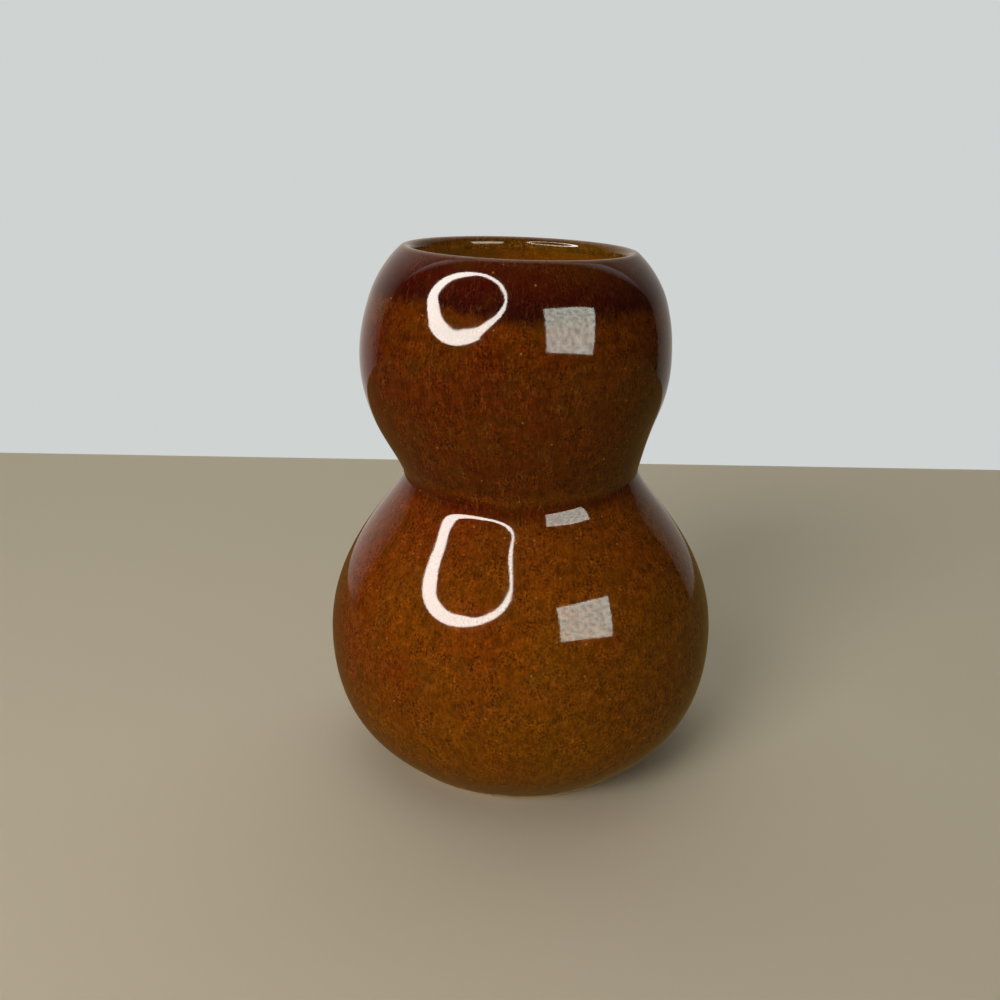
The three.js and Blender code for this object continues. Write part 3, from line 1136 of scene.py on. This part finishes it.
staged_sheet("wall", (
    (WALL_LEFT, behind(WALL_PLACE, WALL_LEFT), WALL_BOTTOM),
    (WALL_RIGHT, behind(WALL_PLACE, WALL_RIGHT), WALL_BOTTOM),
    (WALL_RIGHT, behind(WALL_PLACE, WALL_RIGHT), WALL_TOP),
    (WALL_LEFT, behind(WALL_PLACE, WALL_LEFT), WALL_TOP),
), wall_glow())
print("table and wall staged")

# %% [markdown]
# ## Light
# Soft lamps light the colours, at a level where a colour renders about as it is written. The key lamp is
# at the left and front, a weaker one hangs above, a faint greenish one fills the right, and a small warm
# one low down stands for the light that the table throws up. All are hidden from the glaze's reflections,
# which would veil the dark brown in grey. A tiny lamp in the upper chamber stands for the light that the
# glossy inside throws round and round, which would take a great many bounces to work out.

# %% Place the lamps
AIM = Vector((0, 0, 60)) * MM
INNER_PLACE = Vector((-1, 0, 86)) * MM
INNER_SIZE = 8 * MM
INNER_POWER = 0.014
PLAIN_LIGHT = (1, 1, 1)

# Each soft lamp's name, place in metres, size in metres, power in watts and colour
SOFT_LAMPS = (
    ("key_lamp", (-0.37, -0.59, 0.44), 0.35, 3.15, PLAIN_LIGHT),
    ("fill_lamp", (0.55, -0.60, 0.35), 0.6, 0.1, (0.7, 1, 0.6)),
    ("top_lamp", (-0.1, -0.15, 0.80), 0.6, 0.7, PLAIN_LIGHT),
    ("bounce_lamp", (-0.20, -0.40, 0.01), 0.2, 0.5, (1, 0.95, 0.7)),
)


def hung(name, kind, place, power):
    """A lamp at a place, hidden from the camera and from reflections."""
    data = bpy.data.lights.new(name, kind)
    data.energy = power
    lamp = bpy.data.objects.new(name, data)
    lamp.location = place
    lamp.visible_glossy = False
    lamp.visible_camera = False
    bpy.context.scene.collection.objects.link(lamp)
    return lamp


for name, place, size, power, tone in SOFT_LAMPS:
    soft_lamp = hung(name, "AREA", place, power)
    soft_lamp.data.size = size
    soft_lamp.data.color = tone
    soft_lamp.rotation_euler = (AIM - soft_lamp.location).to_track_quat("-Z", "Y").to_euler()
    print(name, "gives", power, "W")
inner_lamp = hung("inner_lamp", "POINT", INNER_PLACE, INNER_POWER)
inner_lamp.data.shadow_soft_size = INNER_SIZE

# %% [markdown]
# ## What the glaze mirrors
# A glossy pot shows its room. Here a ring lamp stands at the left and a nearly square window at the
# right. Each shows on both bulbs, and the window once more as a thin bar just under the crease. Both are
# glowing shapes that only the reflections see, so their size and brightness can be set by what the glaze
# shows and leave the light on the colours as it is.

# %% Place the ring lamp
# Places and sizes in metres
RING_PLACE = Vector((-0.1159, -0.1192, 0.2109))
RING_RADIUS = 0.1055
RING_HOLE = 0.083
HOLE_SHIFT = Vector((-0.0105, 0.0105, 0))

# The waves of the hole: depth in metres, waves round it, and turn of the first one in radians
HOLE_WAVES = ((0.0016, 5, 0.6), (0.001, 9, 2.0))
RING_GLOW = 20
RING_TONE = (1, 0.94, 0.86, 1)
RING_SEGMENTS = 144


def facing_vase(place):
    """The move that takes a flat shape from the origin to a place, turned to face the vase."""
    return Matrix.Translation(place) @ (AIM - place).to_track_quat("Z", "Y").to_matrix().to_4x4()


def only_mirrored(shape):
    """Hide a glowing shape from everything but the reflections."""
    shape.visible_camera = False
    shape.visible_diffuse = False
    shape.visible_shadow = False


def flat_ring(radius, hole):
    """A flat ring whose hole is off its middle and slightly wavy, so that the band varies in width."""
    work = bmesh.new()
    bmesh.ops.create_circle(work, radius=radius, segments=RING_SEGMENTS)
    rim = bmesh.ops.create_circle(work, radius=hole, segments=RING_SEGMENTS)["verts"]
    for vert in rim:
        angle = math.atan2(vert.co.y, vert.co.x)
        wave = sum(depth * math.sin(count * angle + turn) for depth, count, turn in HOLE_WAVES)
        vert.co = vert.co * (1 + wave / hole) + HOLE_SHIFT
    bmesh.ops.bridge_loops(work, edges=work.edges)
    return work


ring = flat_ring(RING_RADIUS, RING_HOLE)
bmesh.ops.transform(ring, matrix=facing_vase(RING_PLACE), verts=ring.verts)
only_mirrored(staged(ring, "ring_lamp", glow("ring_glow", RING_TONE, RING_GLOW)))
print("ring lamp:", round(2 * RING_RADIUS / MM), "mm across,", round(RING_PLACE.length / MM), "mm away")

# %% [markdown]
# ## The window
# It is a plain pane of daylight, rolled a little about the way that it faces, because its reflections in
# the photograph are. A noise in its glow makes it slightly cloudy, as thin curtains or a hazy sky do.

# %% Place the window
# Place and size in metres
WINDOW_PLACE = Vector((0.2558, -0.3152, 0.2385))
WINDOW_SIZE = (0.2761, 0.2474)
WINDOW_ROLL = math.radians(10)
WINDOW_TONE = (0.96, 1.0, 0.87, 1)
WINDOW_GLOW = 8.8
WINDOW_CLOUD = 0.025
CLOUD_SPAN = (0.35, 0.6)
WINDOW_SHADE = 0.5

# A grid's size is half its width, so this makes a pane one metre wide, which is then scaled
HALF_UNIT = 0.5


def window_glow():
    """Daylight through the window, slightly cloudy."""
    finish, tree = new_finish("window_glow")
    clouds = grain(tree, object_place(tree), WINDOW_CLOUD, detail=4, roughness=0.6)
    shade = ranged(tree, clouds, *CLOUD_SPAN, WINDOW_GLOW * WINDOW_SHADE, WINDOW_GLOW)
    add(tree, "OutputMaterial", {"Surface": emission(tree, WINDOW_TONE, shade)})
    return finish


pane = bmesh.new()
bmesh.ops.create_grid(pane, x_segments=1, y_segments=1, size=HALF_UNIT)
bmesh.ops.scale(pane, vec=(*WINDOW_SIZE, 1), verts=pane.verts)
bmesh.ops.rotate(pane, matrix=Matrix.Rotation(WINDOW_ROLL, 3, "Z"), verts=pane.verts)
bmesh.ops.transform(pane, matrix=facing_vase(WINDOW_PLACE), verts=pane.verts)
only_mirrored(staged(pane, "window", window_glow()))
print("window:", [round(side / MM) for side in WINDOW_SIZE], "mm")

# %% [markdown]
# ## The room
# To the camera the room is as pale as the wall from every side. In the glaze it is pale behind the vase
# and up under the ceiling there, more so on the lamp's side, and dark in front, as a room is where the
# photographer stands. It adds only a little light of its own.

# %% Fill the room
DARK_ROOM = 0.05
DARK_MIRRORED = 0.012
CEILING_LEAN = 0.6
PALE_SPAN = (0.66, 0.8)
UP_SPAN = (0.3, 0.7)
SIDE_SPAN = (-0.5, 0.3)
CEILING_GLOW = (1.6, 0.3)

world = bpy.data.worlds.new("room")
world.use_nodes = True
tree = world.node_tree
tree.nodes.clear()
rays = add(tree, "LightPath").outputs
towards = add(tree, "SeparateXYZ", {0: add(tree, "TexCoord").outputs["Generated"]}).outputs
leaned = calc(tree, "ADD", towards["Y"], times(tree, towards["Z"], CEILING_LEAN))
pale_behind = times(tree, rays["Is Glossy Ray"], ranged(tree, leaned, *PALE_SPAN, 0, 1))
pale = calc(tree, "ADD", rays["Is Camera Ray"], pale_behind, clamp=True)
up = times(tree, rays["Is Glossy Ray"], ranged(tree, towards["Z"], *UP_SPAN, 0, 1))
lamp_side = ranged(tree, towards["X"], *SIDE_SPAN, *CEILING_GLOW)
brighter = calc(tree, "ADD", 1.0, times(tree, up, lamp_side))
dark = ranged(tree, rays["Is Glossy Ray"], 0, 1, DARK_ROOM, DARK_MIRRORED)
room_light = add(tree, "Background", {"Color": (1, 1, 1, 1), "Strength": dark})
room_seen = add(tree, "Background", {"Color": WALL_TONE, "Strength": brighter})
room = add(tree, "MixShader", {0: pale, 1: room_light.outputs[0], 2: room_seen.outputs[0]})
add(tree, "OutputWorld", {"Surface": room.outputs[0]})
bpy.context.scene.world = world
bpy.context.scene.view_settings.view_transform = "Standard"
print("room mixed from", len(tree.nodes), "nodes")

# %% [markdown]
# ## Hand the pieces to the frame
# Every coat rides on the vase's one body and stands for its imported solid, which is hidden.

# %% Ride and replace
STANDS_FOR = (
    (lower_clay, "lower_bulb", "stoneware"),
    (upper_clay, "upper_bulb", "stoneware"),
    (honey_liner, "liner_glaze", "honey_glaze"),
    (amber_coat, "amber_glaze", "amber_glaze"),
    (dip_coat, "dark_dip_glaze", "dark_glaze"),
)
for piece, node_name, slot_name in STANDS_FOR:
    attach(piece, BODY)
    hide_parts(node_name)
    print(piece.name, "stands for", node_name)

# %% [markdown]
# ## The last update
# The view layer is updated once more, so that every move above takes effect.

# %% Update the view layer
bpy.context.view_layer.update()
